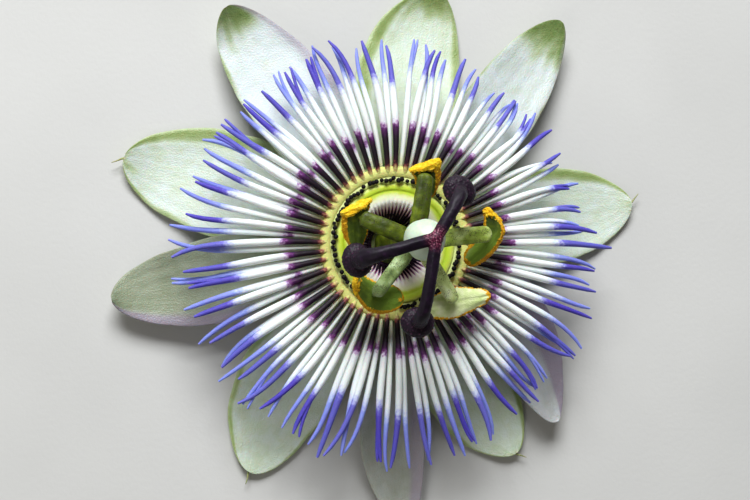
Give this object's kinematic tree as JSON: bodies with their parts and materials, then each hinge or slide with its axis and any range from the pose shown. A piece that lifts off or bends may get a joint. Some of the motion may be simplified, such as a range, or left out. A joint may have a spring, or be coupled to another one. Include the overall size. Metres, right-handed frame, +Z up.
{
  "type": "passion flower",
  "caption": "Picked passion flower lying face up: pale sepals and petals under a banded fringe of filaments, with arching stamens, a round ovary and dark hooked styles.",
  "frame": {"origin": "centre of the bounding box, on the surface the flower rests on", "axes": "+Z up out of the flower's face, +X to the right and +Y to the top of the picture"},
  "size_m": [0.0922, 0.0934, 0.0299],
  "materials": {
    "leaf": "green leaf tissue, matt",
    "cup": "pale green flesh, satin",
    "sepal": "thick pale green-white flesh, matt, finely hairy",
    "petal": "thin greenish white flesh, matt",
    "corona": "waxy filaments, white with dark purple base and blue-violet tip",
    "pali": "black-purple knobs, satin",
    "membrane": "lime green fleshy membrane, satin",
    "stamen": "light green flesh with purple specks, satin",
    "anther": "green back, powdery yellow to orange pollen face",
    "ovary": "pale mint green, waxy",
    "style": "very dark purple, satin"
  },
  "bodies": {
    "root": {"androgynophore": "stamen", "anther_1": "anther", "anther_2": "anther", "anther_3": "anther", "anther_4": "anther", "anther_5": "anther", "bract_1": "leaf", "bract_2": "leaf", "bract_3": "leaf", "corona_lower_row": "corona", "corona_upper_row": "corona", "hypanthium": "cup", "limen": "membrane", "operculum": "membrane", "ovary": "ovary", "pali": "pali", "petal_1": "petal", "petal_2": "petal", "petal_3": "petal", "petal_4": "petal", "petal_5": "petal", "sepal_1": "sepal", "sepal_2": "sepal", "sepal_3": "sepal", "sepal_4": "sepal", "sepal_5": "sepal", "stalk": "leaf", "stamen_filament_1": "stamen", "stamen_filament_2": "stamen", "stamen_filament_3": "stamen", "stamen_filament_4": "stamen", "stamen_filament_5": "stamen", "styles": "style"}
  },
  "joints": []
}
